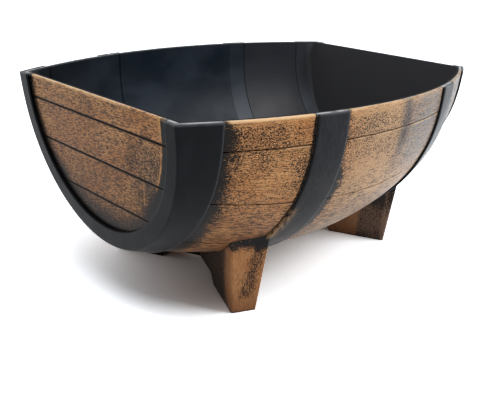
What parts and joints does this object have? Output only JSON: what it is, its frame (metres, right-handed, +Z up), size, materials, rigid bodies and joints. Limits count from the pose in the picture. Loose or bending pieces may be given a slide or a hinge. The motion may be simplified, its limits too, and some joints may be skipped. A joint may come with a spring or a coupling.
{
  "type": "half barrel planter",
  "caption": "Half barrel floor planter: wood-effect staves and head boards on a black tub, held by black hoops, standing on splayed feet.",
  "frame": {"origin": "on the floor under the middle of the planter", "axes": "+X along the barrel to the right end, -Y to the front, +Z up"},
  "size_m": [0.42, 0.303, 0.188],
  "materials": {
    "tub_black": "satin moulded, blue-black",
    "stave_brown": "moulded wood grain, brown paint brushed dry over black",
    "head_brown": "moulded wood grain, brown paint brushed dry over black",
    "hoop_black": "satin charcoal, iron effect",
    "foot_brown": "brown paint brushed dry over black",
    "screw_steel": "plain zinc"
  },
  "bodies": {
    "root": {"tub": "tub_black", "front_rim_stave": "stave_brown", "front_upper_stave": "stave_brown", "front_lower_stave": "stave_brown", "front_bottom_stave": "stave_brown", "rear_rim_stave": "stave_brown", "rear_upper_stave": "stave_brown", "rear_lower_stave": "stave_brown", "rear_bottom_stave": "stave_brown", "keel_stave": "stave_brown", "left_head_board_1": "head_brown", "left_head_board_2": "head_brown", "left_head_board_3": "head_brown", "left_head_board_4": "head_brown", "right_head_board_1": "head_brown", "right_head_board_2": "head_brown", "right_head_board_3": "head_brown", "right_head_board_4": "head_brown", "left_end_hoop": "hoop_black", "left_middle_hoop": "hoop_black", "right_end_hoop": "hoop_black", "right_middle_hoop": "hoop_black", "front_left_foot": "foot_brown", "front_right_foot": "foot_brown", "rear_left_foot": "foot_brown", "rear_right_foot": "foot_brown", "foot_screws": "screw_steel"}
  },
  "joints": []
}
